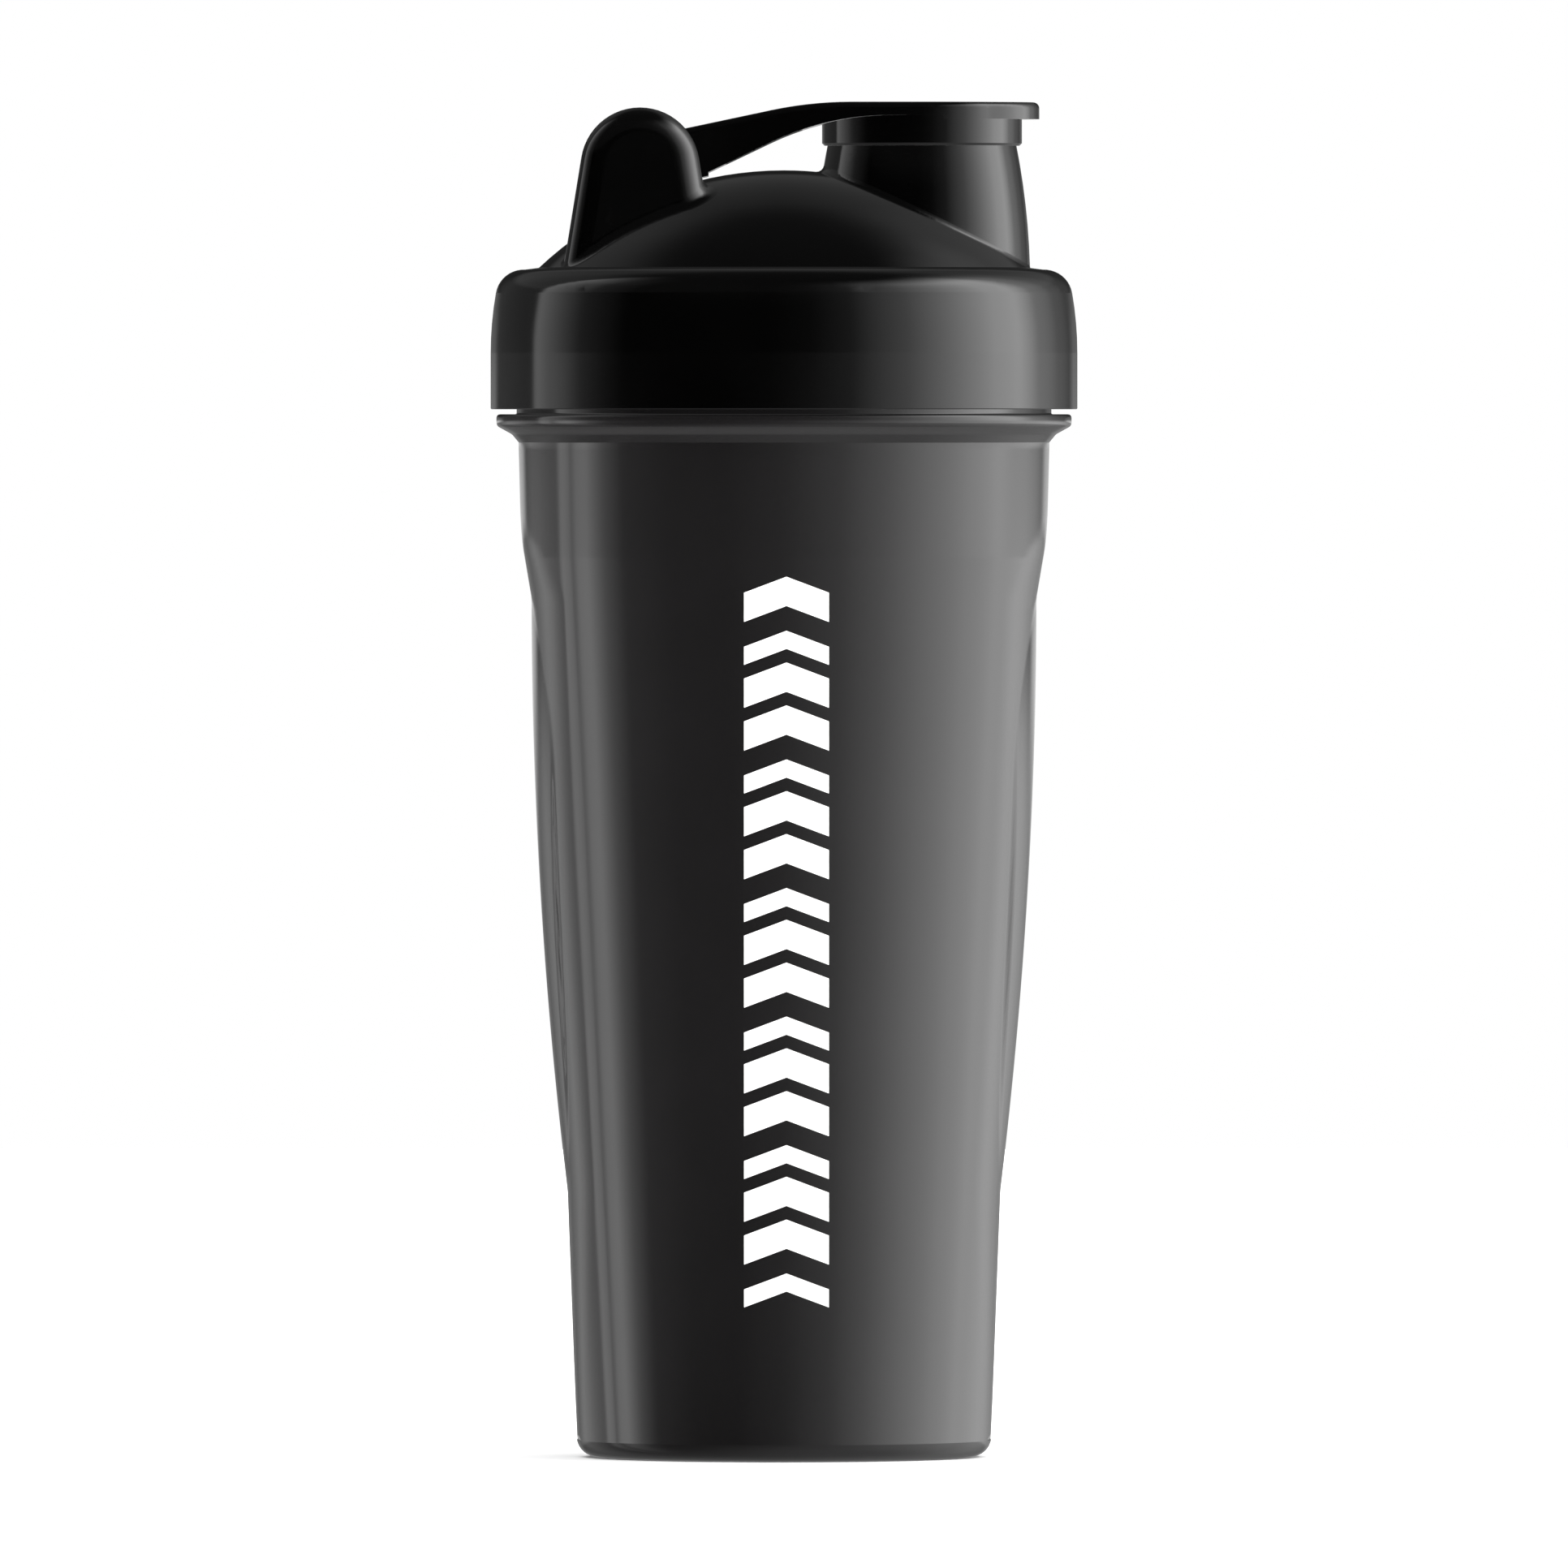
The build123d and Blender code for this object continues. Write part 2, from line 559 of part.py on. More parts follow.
with BuildPart() as cap_shell:
    with BuildSketch(Plane.XZ):
        with BuildLine():
            Polyline(
                (SPOUT_X, CAP_TOP - CAP_ROUNDING),
                (SPOUT_X + CAP_RADIUS, CAP_TOP - CAP_ROUNDING),
                (SPOUT_X + CAP_RADIUS, CAP_BOTTOM + CAP_CHAMFER),
                (SPOUT_X + CAP_RADIUS - CAP_CHAMFER, CAP_BOTTOM),
                (SPOUT_X + MOUTH_RADIUS, CAP_BOTTOM),
                (SPOUT_X + SOCKET_TOP_RADIUS, PLATE_UNDERSIDE),
                (SPOUT_X + STOPPER_RADIUS, PLATE_UNDERSIDE),
                (SPOUT_X + STOPPER_RADIUS, STOPPER_BOTTOM + CAP_CHAMFER),
                (SPOUT_X + STOPPER_RADIUS - CAP_CHAMFER, STOPPER_BOTTOM),
                (SPOUT_X + STOPPER_RADIUS - STOPPER_WALL, STOPPER_BOTTOM),
                (SPOUT_X + STOPPER_RADIUS - STOPPER_WALL, PLATE_UNDERSIDE),
                (SPOUT_X, PLATE_UNDERSIDE),
                close=True,
            )
        make_face()
    revolve(axis=Axis((SPOUT_X, 0, 0), (0, 0, 1)))

with BuildPart() as arm_hollow:
    with BuildSketch(Plane.XZ.offset(ARM_RIB / 2)):
        with BuildLine():
            Polyline(
                (ARM_HOLLOW_START, HINGE_Z - 5),
                (ARM_HOLLOW_START, hollow_roof - (ARM_BEND_X - ARM_HOLLOW_START) * math.tan(top_angle)),
                (ARM_BEND_X, hollow_roof),
                (ARM_HOLLOW_END, hollow_roof + ARM_HOLLOW_RISE),
                (ARM_HOLLOW_END, HINGE_Z - 5),
                close=True,
            )
        make_face()
    extrude(amount=ARM_HALF_WIDTH - ARM_WALL - ARM_RIB / 2)

with BuildPart() as flip_cap:
    add(strap.part)
    with BuildSketch(Plane.XY.offset(CAP_BOTTOM)):
        with Locations((SPOUT_X, 0)):
            Circle(CAP_RADIUS - CAP_CHAMFER)
    extrude(amount=CAP_TOP - CAP_ROUNDING - CAP_BOTTOM, mode=Mode.SUBTRACT)
    add(arm_hollow.part, mode=Mode.SUBTRACT)
    add(arm_hollow.part.mirror(Plane.XZ), mode=Mode.SUBTRACT)
    add(cap_shell.part)
    add(hub.part)
write(flip_cap.part, "flip_cap")


# ================================================================ seals
with BuildPart() as lid_seal:
    with BuildSketch(Plane.XY.offset(RIM_HEIGHT + SEAL_SLACK)):
        Circle(LID_SEAL_OUTER)
        Circle(LID_SEAL_INNER, mode=Mode.SUBTRACT)
    extrude(amount=CHANNEL_TOP - RIM_HEIGHT - 2 * SEAL_SLACK)
write(lid_seal.part, "lid_seal")

with BuildPart() as spout_seal:
    with BuildSketch(Plane.XY.offset(SPOUT_TOP + SEAL_SLACK)):
        with Locations((SPOUT_X, 0)):
            Circle(SPOUT_SEAL_OUTER)
            Circle(STOPPER_RADIUS, mode=Mode.SUBTRACT)
    extrude(amount=PLATE_UNDERSIDE - SPOUT_TOP - SEAL_SLACK)
write(spout_seal.part, "spout_seal")


# ================================================================ whisk_ball
WIND_RADIUS = BALL_RADIUS - WIRE_RADIUS
wind_base = PUSH_UP + FLOOR_THICKNESS + BALL_GAP + WIRE_RADIUS
wind_centre = wind_base + WIND_RADIUS * math.cos(math.radians(BALL_END_ANGLE))


def wind_point(index):
    """Where the wire crosses the plane y = 0: on alternate sides, climbing the ball."""
    spread = (180 - 2 * BALL_END_ANGLE) * index / BALL_HALF_TURNS
    angle = math.radians(BALL_END_ANGLE + spread)
    side = 1 if index % 2 == 0 else -1
    return Vector(
        side * WIND_RADIUS * math.sin(angle), 0, wind_centre - WIND_RADIUS * math.cos(angle)
    )


with BuildPart() as whisk_ball:
    with BuildLine() as winding:
        for index in range(BALL_HALF_TURNS):
            near = wind_point(index)
            far = wind_point(index + 1)
            bulge = Vector(0, (1 if index % 2 == 0 else -1) * (far - near).length / 2, 0)
            ThreePointArc(near, (near + far) * 0.5 + bulge, far)
    with BuildSketch(Plane(winding.line @ 0, z_dir=winding.line % 0)):
        Circle(WIRE_RADIUS)
    sweep(path=winding.line)
write(whisk_ball.part, "whisk_ball")
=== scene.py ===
"""Looks of the protein shaker bottle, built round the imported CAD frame: the cup with its
grips and print, the neck's thread, materials for every piece, and a plain studio.

Metres, in the CAD's frame: +Z up, spout towards +X, hinge towards -X, print towards -Y.
"""
import math

import bpy
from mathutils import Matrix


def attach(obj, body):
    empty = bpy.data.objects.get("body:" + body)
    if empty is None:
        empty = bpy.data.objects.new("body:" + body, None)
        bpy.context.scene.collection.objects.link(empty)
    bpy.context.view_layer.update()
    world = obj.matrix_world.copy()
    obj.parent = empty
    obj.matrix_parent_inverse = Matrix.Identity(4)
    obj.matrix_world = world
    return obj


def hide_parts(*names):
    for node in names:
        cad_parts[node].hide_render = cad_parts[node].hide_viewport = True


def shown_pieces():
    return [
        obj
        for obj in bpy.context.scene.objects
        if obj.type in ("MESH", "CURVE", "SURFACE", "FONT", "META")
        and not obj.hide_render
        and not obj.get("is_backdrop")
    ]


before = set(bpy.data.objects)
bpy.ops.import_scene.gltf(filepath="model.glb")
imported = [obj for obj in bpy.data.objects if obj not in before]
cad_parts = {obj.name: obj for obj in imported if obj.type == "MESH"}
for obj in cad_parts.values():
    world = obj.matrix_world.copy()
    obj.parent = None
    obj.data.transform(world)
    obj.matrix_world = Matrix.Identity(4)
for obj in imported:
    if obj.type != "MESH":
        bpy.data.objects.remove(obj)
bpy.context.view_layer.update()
MM = 0.001


# ================================================================ mesh helpers
SHARP_ANGLE = 40                 # degrees; edges that turn by more are shaded as sharp
CORNER_STEPS = 5                 # segments in each rounded corner of an outline


def new_piece(name, verts, faces, body, material):
    """A smooth-shaded mesh piece, given in millimetres, that rides on a CAD body."""
    mesh = bpy.data.meshes.new(name)
    mesh.from_pydata([(x * MM, y * MM, z * MM) for x, y, z in verts], [], faces)
    mesh.validate()
    mesh.shade_smooth()
    mesh.set_sharp_from_angle(angle=math.radians(SHARP_ANGLE))
    mesh.materials.append(material)
    piece = bpy.data.objects.new(name, mesh)
    bpy.context.collection.objects.link(piece)
    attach(piece, body)
    return piece


def unit(x, z):
    """The direction of a vector, as a vector of length 1."""
    length = math.hypot(x, z)
    return (x / length, z / length)


def rounded(corners):
    """A polyline of (radius, height) points from (radius, height, rounding) corners.
    Each corner becomes a parabola that starts and ends where an arc of that radius would."""
    points = []
    for index, (r, z, rounding) in enumerate(corners):
        if rounding == 0 or index in (0, len(corners) - 1):
            points.append((r, z))
            continue
        before = corners[index - 1]
        after = corners[index + 1]
        u = unit(before[0] - r, before[1] - z)
        v = unit(after[0] - r, after[1] - z)
        half = math.acos(max(-1.0, min(1.0, u[0] * v[0] + u[1] * v[1]))) / 2
        reach = rounding / math.tan(half)
        start = (r + u[0] * reach, z + u[1] * reach)
        end = (r + v[0] * reach, z + v[1] * reach)
        for step in range(CORNER_STEPS + 1):
            t = step / CORNER_STEPS
            a, b, c = (1 - t) ** 2, 2 * t * (1 - t), t**2
            points.append((a * start[0] + b * r + c * end[0], a * start[1] + b * z + c * end[1]))
    return points


def subdivided(points, longest):
    """The same polyline with no step longer than a given length."""
    out = [points[0]]
    for (r0, z0), (r1, z1) in zip(points, points[1:]):
        count = max(1, math.ceil(math.hypot(r1 - r0, z1 - z0) / longest))
        for step in range(1, count + 1):
            t = step / count
            out.append((r0 + (r1 - r0) * t, z0 + (z1 - z0) * t))
    return out


def tube_faces(rows, columns):
    """Quads between the rows of a grid, each of which is a closed ring of points."""
    faces = []
    for row in range(rows - 1):
        here = row * columns
        above = here + columns
        for column in range(columns):
            after = (column + 1) % columns
            faces.append((here + column, here + after, above + after, above + column))
    return faces


def lerp(x, points):
    """Straight-line interpolation through (x, value) points."""
    for (x0, v0), (x1, v1) in zip(points, points[1:]):
        if x <= x1:
            return v0 + (v1 - v0) * (x - x0) / (x1 - x0)
    return points[-1][1]


def smooth_min(a, b, blend):
    """The smaller of two numbers, eased over where they are within blend of each other."""
    h = max(0.0, min(1.0, 0.5 + 0.5 * (b - a) / blend))
    return b + (a - b) * h - blend * h * (1 - h)


def smooth_step(x):
    """Eases from 0 to 1 as x goes from 0 to 1, and is flat outside."""
    x = max(0.0, min(1.0, x))
    return x * x * (3 - 2 * x)


# ================================================================ materials
NOISE_LOW = 0.3                  # nearly all of a noise's values lie between these
NOISE_HIGH = 0.7
GLOSS_SPREAD = 0.02              # how far a moulding's roughness strays to either side
PLASTIC_IOR = 1.5


def grey(value):
    """A neutral colour."""
    return (value, value, value)


def shader_nodes(name):
    """A new material, with its node tree and its Principled shader."""
    material = bpy.data.materials.new(name)
    material.use_nodes = True
    tree = material.node_tree
    return material, tree, tree.nodes["Principled BSDF"]


def noise(tree, scale, detail):
    """Noise in the object's own metres; scale is about how many blots there are to a metre."""
    coordinates = tree.nodes.new("ShaderNodeTexCoord")
    texture = tree.nodes.new("ShaderNodeTexNoise")
    texture.inputs["Scale"].default_value = scale
    texture.inputs["Detail"].default_value = detail
    tree.links.new(coordinates.outputs["Object"], texture.inputs["Vector"])
    return texture.outputs["Fac"]


def vary(tree, factor, low, high, target):
    """Moves a shader's value between low and high with a factor that varies over the surface."""
    spread = tree.nodes.new("ShaderNodeMapRange")
    spread.inputs["From Min"].default_value = NOISE_LOW
    spread.inputs["From Max"].default_value = NOISE_HIGH
    spread.inputs["To Min"].default_value = low
    spread.inputs["To Max"].default_value = high
    tree.links.new(factor, spread.inputs["Value"])
    tree.links.new(spread.outputs["Result"], target)


def vary_color(tree, factor, dark, light, target):
    """Moves a shader's colour from dark to light with a factor that varies over the surface."""
    ramp = tree.nodes.new("ShaderNodeValToRGB")
    ramp.color_ramp.elements[0].position = NOISE_LOW
    ramp.color_ramp.elements[0].color = (*dark, 1)
    ramp.color_ramp.elements[1].position = NOISE_HIGH
    ramp.color_ramp.elements[1].color = (*light, 1)
    tree.links.new(factor, ramp.inputs["Fac"])
    tree.links.new(ramp.outputs["Color"], target)


def bump(tree, shader, height, distance):
    """A surface relief; distance is how deep it is, in metres."""
    node = tree.nodes.new("ShaderNodeBump")
    node.inputs["Distance"].default_value = distance
    tree.links.new(height, node.inputs["Height"])
    tree.links.new(node.outputs["Normal"], shader.inputs["Normal"])


def moulded_plastic(name, dark, light, roughness, grain):
    """Moulded polypropylene: slight mottling, uneven gloss and a very fine moulded grain."""
    material, tree, shader = shader_nodes(name)
    mottling = noise(tree, scale=60, detail=3)
    vary_color(tree, mottling, dark, light, shader.inputs["Base Color"])
    glossiness = noise(tree, scale=35, detail=4)
    vary(tree, glossiness, roughness - GLOSS_SPREAD, roughness + GLOSS_SPREAD, shader.inputs["Roughness"])
    shader.inputs["IOR"].default_value = PLASTIC_IOR
    bump(tree, shader, noise(tree, scale=2500, detail=2), grain)
    return material


def silicone():
    """Dark silicone: matt, with a faint powdery bloom."""
    material, tree, shader = shader_nodes("silicone")
    dark = (0.035, 0.035, 0.036)
    bloomed = (0.055, 0.055, 0.056)
    vary_color(tree, noise(tree, scale=220, detail=4), dark, bloomed, shader.inputs["Base Color"])
    vary(tree, noise(tree, scale=400, detail=3), 0.55, 0.7, shader.inputs["Roughness"])
    bump(tree, shader, noise(tree, scale=1800, detail=3), 0.00002)
    return material


def drawn_steel():
    """Drawn stainless wire: bright, with fine uneven drawing marks."""
    material, tree, shader = shader_nodes("drawn_steel")
    dull = (0.56, 0.55, 0.53)
    bright = (0.70, 0.69, 0.67)
    vary_color(tree, noise(tree, scale=120, detail=3), dull, bright, shader.inputs["Base Color"])
    vary(tree, noise(tree, scale=900, detail=4), 0.16, 0.3, shader.inputs["Roughness"])
    shader.inputs["Metallic"].default_value = 1.0
    bump(tree, shader, noise(tree, scale=3500, detail=2), 0.00001)
    return material


def print_ink():
    """White screen print: slightly uneven cover and a faint mesh texture."""
    material, tree, shader = shader_nodes("print_ink")
    thin = (0.80, 0.80, 0.79)
    full = (0.90, 0.90, 0.89)
    vary_color(tree, noise(tree, scale=300, detail=4), thin, full, shader.inputs["Base Color"])
    vary(tree, noise(tree, scale=700, detail=2), 0.45, 0.55, shader.inputs["Roughness"])
    bump(tree, shader, noise(tree, scale=4000, detail=2), 0.000006)
    return material


CUP_PLASTIC = moulded_plastic(
    "cup_plastic",
    dark=(0.0062, 0.0059, 0.0060),
    light=(0.0070, 0.0066, 0.0068),
    roughness=0.11,
    grain=0.0000010,
)
LID_PLASTIC = moulded_plastic(
    "lid_plastic",
    dark=grey(0.0003),
    light=grey(0.0005),
    roughness=0.10,
    grain=0.0000006,
)
SILICONE = silicone()
STEEL = drawn_steel()
INK = print_ink()

CAD_MATERIALS = {
    "screw_lid": LID_PLASTIC,
    "flip_cap": LID_PLASTIC,
    "lid_seal": SILICONE,
    "spout_seal": SILICONE,
    "whisk_ball": STEEL,
}


def dress_cad_nodes():
    """Gives each CAD node that stays visible its material."""
    for node, material in CAD_MATERIALS.items():
        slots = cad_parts[node].data.materials
        for index in range(len(slots)):
            slots[index] = material


dress_cad_nodes()


# ================================================================ cup
WALL = 1.8
PUSH_UP = 1.2                    # how far the base is domed in above the resting plane
FOOT_INNER_RADIUS = 28.2
BASE_RADIUS = 33.9
BASE_CORNER_HEIGHT = 2.7
BASE_CORNER_LEAN = 10            # degrees from upright at which the corner meets the wall
BASE_CORNER_STEP = 8             # degrees
COLLAR_START_RADIUS = 42.95      # the taper eases off here, below the flange
COLLAR_START_HEIGHT = 147.0
COLLAR_RADIUS = 43.42
COLLAR_HEIGHT = 165.9
INNER_COLLAR_HEIGHT = 165.7
FLARE_RADIUS = 44.5              # the flange's underside flares out past this point
FLARE_HEIGHT = 167.2
FLANGE_LOWER_RADIUS = 47.03
FLANGE_RADIUS = 47.07
FLANGE_BOTTOM = 168.6
FLANGE_TOP = 170.5
NECK_RADIUS = 43.75
RIM_HEIGHT = 190.5
FLOOR_HEIGHT = 3.2
OUTSIDE_STEP = 1.2               # longest step between two rings of the mesh
INSIDE_STEP = 4.0

GRIP_TOP = 140.35
GRIP_TOP_RADIUS = 41.3
GRIP_BOTTOM = 43.8
GRIP_HALF_ANGLE = math.radians(50)   # no grip reaches further round the cup than this
GRIP_ARC_RADIUS = 797.0          # the pad's upright profile is one long arc
RECESS_SHIFT = 12.0              # the recess is flatter in plan than the cup
RECESS_TOP = 160.0
RECESS_BLEND = 0.35              # softens the edge where the recess leaves the wall
PAD_SHIFT = 2.9                  # the pad is rounder in plan
PAD_EDGE = 1.3                   # width of the slope from the recess up to the pad
PAD_END_SLOPE = 2.0              # how many times as steep it is at the pad's two ends
PAD_UPPER_END = 114.6            # the pad's sides close in above this height
PAD_UPPER_BLUNTNESS = 2.5
PAD_LOWER_END = 80.0             # and below this one
PAD_LOWER_BLUNTNESS = 3

# (height, radius) of the recess's deepest line
RECESS_PROFILE = [
    (BASE_CORNER_HEIGHT, BASE_RADIUS),
    (GRIP_BOTTOM, 35.42),
    (100.0, 39.0),
    (GRIP_TOP, GRIP_TOP_RADIUS),
    (149.1, 42.78),
    (153.5, 43.3),
    (RECESS_TOP, 44.2),
]
# (height, half width) of the pad before its ends close
PAD_WIDTHS = [(GRIP_BOTTOM, 10.5), (PAD_LOWER_END, 13.0), (PAD_UPPER_END, 15.6), (GRIP_TOP, 15.6)]

FINE_STEP = 0.75                 # degrees between columns of the mesh across a grip
COARSE_STEP = 2.0                # and elsewhere
FINE_HALF_ANGLE = 36.0


def shifted_radius(middle, shift, angle):
    """Distance from the cup's axis to a circle whose centre is shifted along X.
    middle is that distance straight out along +X; a negative shift flattens the circle."""
    circle = middle - shift
    return shift * math.cos(angle) + math.sqrt(circle**2 - (shift * math.sin(angle)) ** 2)


def closing(reach, bluntness):
    """Falls from 1 to 0 along a superellipse as reach goes from 0 to 1."""
    return max(0.0, 1 - reach**bluntness) ** (1 / bluntness)


def pad_half_width(height):
    """Half the pad's width, which closes in a blunt curve at the top and bottom."""
    width = lerp(height, PAD_WIDTHS)
    if height > PAD_UPPER_END:
        reach = (height - PAD_UPPER_END) / (GRIP_TOP - PAD_UPPER_END)
        return width * closing(reach, PAD_UPPER_BLUNTNESS)
    if height < PAD_LOWER_END:
        reach = (PAD_LOWER_END - height) / (PAD_LOWER_END - GRIP_BOTTOM)
        return width * closing(reach, PAD_LOWER_BLUNTNESS)
    return width


def grip_radius(radius, angle, height, wall):
    """The cup's radius with the grip recess cut into it and the oval pad raised from that.
    wall is how far the surface lies inside the cup's outside; only the outside has the pad."""
    side = abs(math.remainder(angle, math.pi))
    if side > GRIP_HALF_ANGLE or not BASE_CORNER_HEIGHT < height < RECESS_TOP:
        return radius
    recess = shifted_radius(lerp(height, RECESS_PROFILE) - wall, -RECESS_SHIFT, side)
    result = smooth_min(radius, recess, RECESS_BLEND)
    if wall or not GRIP_BOTTOM < height < GRIP_TOP:
        return result
    middle = GRIP_TOP_RADIUS - (GRIP_TOP - height) ** 2 / (2 * GRIP_ARC_RADIUS)
    pad = shifted_radius(middle, PAD_SHIFT, side)
    from_sides = pad_half_width(height) - abs(pad * math.sin(side))
    from_ends = min(GRIP_TOP - height, height - GRIP_BOTTOM)
    edge = smooth_step(min(from_sides, from_ends * PAD_END_SLOPE) / PAD_EDGE)
    return result + max(0.0, pad - result) * edge


def cup_columns():
    """Angles round the cup: fine across the two grips, coarser elsewhere."""
    columns = []
    degrees = -90.0
    while degrees < 270.0:
        columns.append(math.radians(degrees))
        from_grip = abs(math.remainder(degrees, 180.0))
        degrees += FINE_STEP if from_grip < FINE_HALF_ANGLE else COARSE_STEP
    return columns


def base_corner():
    """The rounded foot of the wall, which meets the taper in a faint edge."""
    lean = math.radians(BASE_CORNER_LEAN)
    radius = BASE_CORNER_HEIGHT / (1 - math.sin(lean))
    middle = BASE_RADIUS - radius * math.cos(lean)
    points = []
    for degrees in range(90, BASE_CORNER_LEAN - 1, -BASE_CORNER_STEP):
        angle = math.radians(degrees)
        points.append((middle + radius * math.cos(angle), radius * (1 - math.sin(angle)), 0))
    return points


def cup_outside():
    """(radius, height, rounding) corners from the middle of the base up to the rim."""
    return [
        (0.0, PUSH_UP, 0),
        (FOOT_INNER_RADIUS - PUSH_UP, PUSH_UP, 0.5),
        (FOOT_INNER_RADIUS, 0.0, 0.4),
        *base_corner(),
        (BASE_RADIUS, BASE_CORNER_HEIGHT, 0),
        (BASE_RADIUS + 0.01, BASE_CORNER_HEIGHT + 0.15, 0),   # keeps the edge below it crisp
        (COLLAR_START_RADIUS, COLLAR_START_HEIGHT, 12.0),
        (COLLAR_RADIUS, COLLAR_HEIGHT, 0.15),
        (FLARE_RADIUS, FLARE_HEIGHT, 1.4),
        (FLANGE_LOWER_RADIUS, FLANGE_BOTTOM, 0.9),
        (FLANGE_RADIUS, FLANGE_TOP, 0.7),
        (NECK_RADIUS, FLANGE_TOP, 0.25),
        (NECK_RADIUS, RIM_HEIGHT, 0.6),
        (NECK_RADIUS - WALL / 2, RIM_HEIGHT, 0),
    ]


def cup_inside():
    """(radius, height, rounding) corners from the rim down to the middle of the floor."""
    return [
        (NECK_RADIUS - WALL / 2, RIM_HEIGHT, 0),
        (NECK_RADIUS - WALL, RIM_HEIGHT, 0.6),
        (NECK_RADIUS - WALL, FLANGE_TOP, 3.0),
        (COLLAR_RADIUS - WALL, INNER_COLLAR_HEIGHT, 0),
        (COLLAR_START_RADIUS - WALL, COLLAR_START_HEIGHT, 12.0),
        (BASE_RADIUS - WALL + 0.1, FLOOR_HEIGHT, 5.5),
        (0.0, FLOOR_HEIGHT, 0),
    ]


def build_cup():
    """The whole cup as one closed skin, from under its base, over the rim, to its floor."""
    outside = [(r, z, 0.0) for r, z in subdivided(rounded(cup_outside()), OUTSIDE_STEP)]
    inside = [(r, z, WALL) for r, z in subdivided(rounded(cup_inside()), INSIDE_STEP)]
    rings = outside[1:] + inside[1:-1]
    columns = cup_columns()
    count = len(columns)
    verts = []
    for r, z, wall in rings:
        for angle in columns:
            reach = grip_radius(r, angle, z, wall)
            verts.append((reach * math.cos(angle), reach * math.sin(angle), z))
    faces = tube_faces(len(rings), count)
    last_ring = len(verts) - count
    under_middle = len(verts)
    floor_middle = under_middle + 1
    verts.append((0, 0, PUSH_UP))
    verts.append((0, 0, FLOOR_HEIGHT))
    for column in range(count):
        after = (column + 1) % count
        faces.append((under_middle, after, column))
        faces.append((floor_middle, last_ring + column, last_ring + after))
    cup = new_piece("cup_shell", verts, faces, "bottle", CUP_PLASTIC)
    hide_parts("bottle_body")


build_cup()


# ================================================================ neck thread
THREAD_PITCH = 6.0
THREAD_START = 175.8
THREAD_TURNS = 1.25
THREAD_STEPS = 225
THREAD_FADE = math.radians(12)   # the ridge's ends slope down to the neck
# (out from the neck, up from the middle) points of the ridge's upper half, crest to root
THREAD_FLANK = [(1.5, 0.5), (1.3, 0.72), (0.0, 1.3), (-0.4, 1.45)]


def build_thread():
    """The neck's ridge: a closed section swept along a helix."""
    section = [(out, -up) for out, up in reversed(THREAD_FLANK)] + THREAD_FLANK
    count = len(section)
    sweep = 2 * math.pi * THREAD_TURNS
    verts = []
    for step in range(THREAD_STEPS + 1):
        angle = sweep * step / THREAD_STEPS
        height = THREAD_START + THREAD_PITCH * angle / (2 * math.pi)
        fade = smooth_step(min(angle, sweep - angle) / THREAD_FADE)
        for out, up in section:
            r = NECK_RADIUS + (out * fade if out > 0 else out)
            verts.append((r * math.cos(angle), r * math.sin(angle), height + up))
    faces = [face[::-1] for face in tube_faces(THREAD_STEPS + 1, count)]
    last = THREAD_STEPS * count
    faces.append(tuple(range(count)))
    faces.append(tuple(last + corner for corner in reversed(range(count))))
    new_piece("neck_thread", verts, faces, "bottle", CUP_PLASTIC)


build_thread()


# ================================================================ print
PRINT_BOTTOM = 25.2              # the lowest and highest points of the whole print
PRINT_TOP = 144.1
PRINT_LEFT = -6.5
PRINT_RIGHT = 7.3
PRINT_RISE = 2.6                 # how far each chevron climbs from its ends to its middle
PRINT_THICKNESS = 0.045
PRINT_SUNK = 0.02                # how far each stripe reaches into the wall
CHEVRONS = 17
CHEVRON_COLUMNS = 12
WIDE_STRIPE = 0.68               # share of the spacing that a stripe fills
NARROW_STRIPE = 0.42             # the same for every third stripe
WALL_TAPER = [(BASE_CORNER_HEIGHT, BASE_RADIUS), (COLLAR_START_HEIGHT, COLLAR_START_RADIUS)]


def on_front(x, height, proud):
    """Point on the cup's front wall, or a little way out from it."""
    reach = lerp(height, WALL_TAPER) + proud
    return (x, -math.sqrt(reach**2 - x**2), height)


def add_chevron(verts, faces, bottom, thickness):
    """One printed stripe, highest in the middle, as a thin closed band on the cup's front."""
    first = len(verts)
    for column in range(CHEVRON_COLUMNS + 1):
        across = column / CHEVRON_COLUMNS
        x = PRINT_LEFT + (PRINT_RIGHT - PRINT_LEFT) * across
        climb = PRINT_RISE * (1 - abs(2 * across - 1))
        for height in (bottom + climb, bottom + climb + thickness):
            verts.append(on_front(x, height, PRINT_THICKNESS))
            verts.append(on_front(x, height, -PRINT_SUNK))
    for column in range(CHEVRON_COLUMNS):
        a = first + 4 * column
        b = a + 4
        faces.append((a, b, b + 2, a + 2))
        faces.append((a + 3, b + 3, b + 1, a + 1))
        faces.append((a + 1, b + 1, b, a))
        faces.append((a + 2, b + 2, b + 3, a + 3))
    last = first + 4 * CHEVRON_COLUMNS
    faces.append((first, first + 2, first + 3, first + 1))
    faces.append((last + 1, last + 3, last + 2, last))


def build_print():
    """The white print: a ladder of chevron stripes up the front."""
    verts = []
    faces = []
    step = (PRINT_TOP - PRINT_BOTTOM - PRINT_RISE) / (CHEVRONS - 1 + WIDE_STRIPE)
    for index in range(CHEVRONS):
        thickness = step * (WIDE_STRIPE if index % 3 else NARROW_STRIPE)
        add_chevron(verts, faces, PRINT_BOTTOM + step * index, thickness)
    new_piece("front_print", verts, faces, "bottle", INK)


build_print()


